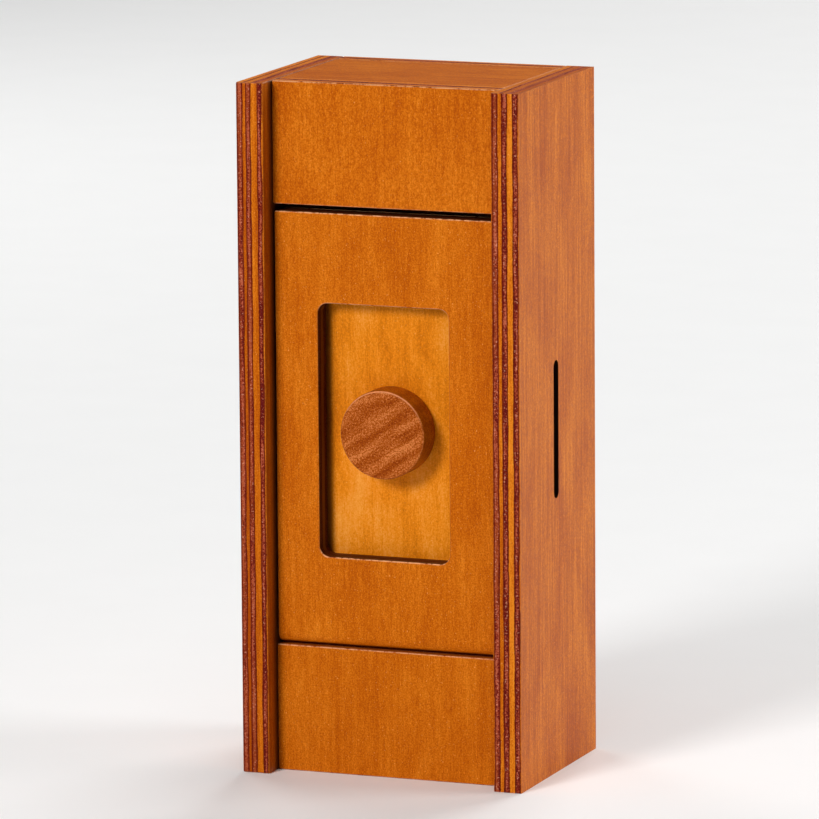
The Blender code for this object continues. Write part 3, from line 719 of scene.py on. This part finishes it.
def add_boards():
    """Carcass boards, each with its own plies and grain. Inner ones reach into their glue joints."""
    reach = GLUE_REACH
    rows = (
        ("left_side_wall", "X", "Z", False, LEFT_WALL_PLIES, 1, (0.0, 0.0), 0.25),
        ("right_side_wall", "X", "Z", True, RIGHT_WALL_PLIES, 2, (0.0, 0.0), 0.25),
        ("upper_front_board", "Y", "Z", False, FRONT_PLIES, 3, (reach, 0.0), 0.8),
        ("lower_front_board", "Y", "Z", False, FRONT_PLIES, 4, (reach, 0.0), 0.8),
        ("back_panel", "Y", "Z", True, FRONT_PLIES, 5, (reach, 0.0), 0.5),
        ("top_end_board", "Z", "X", True, RIGHT_WALL_PLIES, 6, (reach, reach), 0.3),
        ("bottom_end_board", "Z", "X", False, RIGHT_WALL_PLIES, 7, (reach, reach), 0.3),
    )
    for node, thick, grain, outer_high, plies, seed, (reach_x, reach_y), wear_and_highlight in rows:
        wall = "wall" in node
        low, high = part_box(node)
        growth = Vector((reach_x, reach_y, 0.0))
        low, high = low - growth, high + growth
        piece = box_piece(node + "_board", low, high)
        slot = None
        if node == "right_side_wall":
            slot = (SLOT_DEPTH, SLOT_WIDTH / 2, MIDDLE, SLOT_LENGTH / 2)
            outline = rounded_outline(SLOT_DEPTH, MIDDLE, SLOT_WIDTH, SLOT_LENGTH, SLOT_WIDTH * ROUND_END)
            cut_out(piece, prism_between(outline, "X", low.x - MM, high.x + MM))
        round_edges(piece)
        board = Board(node, low, high, thick, grain, outer_high, plies, seed)
        material = plywood(board, STAIN, wear_and_highlight=wear_and_highlight, slot=slot, corner_shade=wall,
                           specular=WALL_SPECULAR if wall else SAWN_SPECULAR,
                           texture=WALL_TEXTURE if wall else BOARD_TEXTURE)
        stand_for(piece, node, "carcass", material)


def add_lid_plate():
    """Windowed plate, round along its lower front edge about the hinge axis, with bores for the pins."""
    low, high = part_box("lid_front_plate")
    radius = (high.y - low.y) / 2
    hinge_y = low.y + radius
    hinge_z = low.z + radius
    outline = [(high.y, low.z), (high.y, high.z), (low.y, high.z)]
    for step in range(LID_ARC_STEPS + 1):
        angle = math.pi * (1.0 + 0.5 * step / LID_ARC_STEPS)
        outline.append((hinge_y + radius * math.cos(angle), hinge_z + radius * math.sin(angle)))
    piece = add_mesh_piece("lid_plate_board", prism_between(outline, "X", low.x, high.x))
    middle_x = (low.x + high.x) / 2 + WINDOW_OFFSET
    window = rounded_outline(middle_x, MIDDLE, WINDOW_WIDTH, WINDOW_HEIGHT, WINDOW_CORNER)
    cut_out(piece, prism_between(window, "Y", low.y - MM, high.y + MM))
    round_edges(piece)
    bore = rounded_outline(hinge_y, hinge_z, PIN_BORE, PIN_BORE, PIN_BORE_CORNER)
    for pin in ("hinge_pin_left", "hinge_pin_right"):
        pin_low, pin_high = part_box(pin)
        cut_out(piece, prism_between(bore, "X", pin_low.x - PIN_PLAY, pin_high.x + PIN_PLAY))
    rim = (Vector((middle_x, 0.0, MIDDLE)), WINDOW_WIDTH / 2, WINDOW_HEIGHT / 2, WINDOW_CORNER, low.y)
    board = Board("lid_plate", low, high, "Y", "Z", False, FRONT_PLIES, 8)
    material = plywood(board, STAIN, window=rim, cut_edges=0.85)
    stand_for(piece, "lid_front_plate", "lid", material)


def panel_wood():
    """The slider panel's pale plywood, with painted shade beside the window's left edge."""
    lid_low, lid_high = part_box("lid_front_plate")
    window_left = (lid_low.x + lid_high.x) / 2 + WINDOW_OFFSET - WINDOW_WIDTH / 2
    side_shade_span = (window_left / MM, window_left / MM + SIDE_SHADE_WIDTH)
    board = Board("slider_panel", *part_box("slider_panel"), "Y", "Z", False, PANEL_PLIES, 9)
    return plywood(board, PANEL, wear_and_highlight=0.4, texture=PANEL_TEXTURE, side_shade_span=side_shade_span)


def raw_wood(name, seed):
    """Raw plywood, thinnest along one axis of the piece's box and with its grain along the longest."""
    low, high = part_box(name)
    size = high - low
    thick, _, grain = sorted("XYZ", key=lambda axis: size[AXES[axis]])
    thickness = size[AXES[thick]] / MM
    plies = tuple(thickness * share for share in RAW_PLIES)
    board = Board(name, low, high, thick, grain, False, plies, seed)
    return plywood(board, RAW, wear_and_highlight=0.1, specular=RAW_SPECULAR, ends=RAW_ENDS)


def paint_cad_nodes():
    """Inner pieces keep their CAD shape and get their own wood or metal."""
    finishes = {"slider_panel": panel_wood(), "knob": knob_wood("knob_wood", *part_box("knob"), 3)}
    for number, (name, node) in enumerate(NODES.items()):
        if node.hide_render or name in finishes:
            continue
        if "screw" in name and name != "knob_screw":
            finishes[name] = metal(name + "_brass", BRASS, number, BRASS_ROUGHNESS)
        elif name in ("knob_screw", "retaining_washer") or "hinge_pin" in name:
            finishes[name] = metal(name + "_steel", STEEL, number, STEEL_ROUGHNESS)
        else:
            finishes[name] = raw_wood(name, number)
    for name, material in finishes.items():
        NODES[name].data.materials.clear()
        NODES[name].data.materials.append(material)


def direction(azimuth, elevation):
    """Unit vector at an azimuth in degrees from the front, turning to the right, and an elevation."""
    turn, lift = math.radians(azimuth), math.radians(elevation)
    return Vector((math.sin(turn) * math.cos(lift), -math.cos(turn) * math.cos(lift), math.sin(lift)))


def add_area(name, azimuth, elevation, distance, size, power):
    """Soft light that shines on the box's middle from a direction."""
    aim = Vector((0.0, 0.0, MIDDLE))
    toward = direction(azimuth, elevation)
    light = bpy.data.lights.new(name, "AREA")
    light.shape = "RECTANGLE"
    light.size, light.size_y = size
    light.energy = power
    lamp = bpy.data.objects.new(name, light)
    lamp.location = aim + toward * distance
    lamp.rotation_euler = (-toward).to_track_quat("-Z", "Y").to_euler()
    bpy.context.scene.collection.objects.link(lamp)


def add_lights():
    """Studio lights, and a faint white world."""
    add_area("key", azimuth=-16.0, elevation=24.0, distance=1.3, size=(0.34, 0.34), power=10.4)
    add_area("side", azimuth=106.0, elevation=18.0, distance=1.1, size=(0.5, 0.6), power=5.6)
    add_area("overhead", azimuth=10.0, elevation=68.0, distance=1.3, size=(0.7, 0.7), power=3.0)
    add_area("backdrop", azimuth=172.0, elevation=36.0, distance=2.6, size=(1.6, 1.6), power=40.0)
    add_area("rear_left", azimuth=-130.0, elevation=25.0, distance=1.3, size=(0.5, 0.5), power=3.0)
    world = bpy.data.worlds.new("studio")
    world.use_nodes = True
    background = world.node_tree.nodes["Background"]
    background.inputs["Color"].default_value = (1.0, 1.0, 1.0, 1.0)
    background.inputs["Strength"].default_value = WORLD_STRENGTH
    bpy.context.scene.world = world


def add_floor():
    """Pale paper under the box."""
    bpy.ops.mesh.primitive_plane_add(size=FLOOR_SIZE, location=(0.0, 0.0, 0.0))
    floor = bpy.context.object
    floor.name = "floor"
    graph = Graph("floor_paper")
    tone = graph.noise(graph.coordinates.outputs["Object"], scale=40.0, detail=3.0)
    graph.finish(graph.ramp(tone, [(0.3, PAPER_DARK), (0.7, PAPER_LIGHT)]), 0.75)
    floor.data.materials.append(graph.material)


def add_camera():
    """A long lens a little above the box, to the right of its front."""
    back = direction(CAMERA_AZIMUTH, CAMERA_ELEVATION)
    camera = bpy.data.cameras.new("camera")
    camera.lens = LENS
    camera.sensor_width = SENSOR_WIDTH
    camera.clip_start = 0.05
    camera.clip_end = 50.0
    holder = bpy.data.objects.new("camera", camera)
    holder.location = CAMERA_AIM + back * CAMERA_DISTANCE
    level = (-back).to_track_quat("-Z", "Y").to_matrix()
    roll = Matrix.Rotation(math.radians(CAMERA_ROLL), 3, Vector((0.0, 0.0, 1.0)))
    holder.rotation_euler = (level @ roll).to_euler()
    bpy.context.scene.collection.objects.link(holder)
    bpy.context.scene.camera = holder
    bpy.context.scene.view_settings.view_transform = "Standard"


add_camera()
add_floor()
add_lights()
add_boards()
add_lid_plate()
paint_cad_nodes()
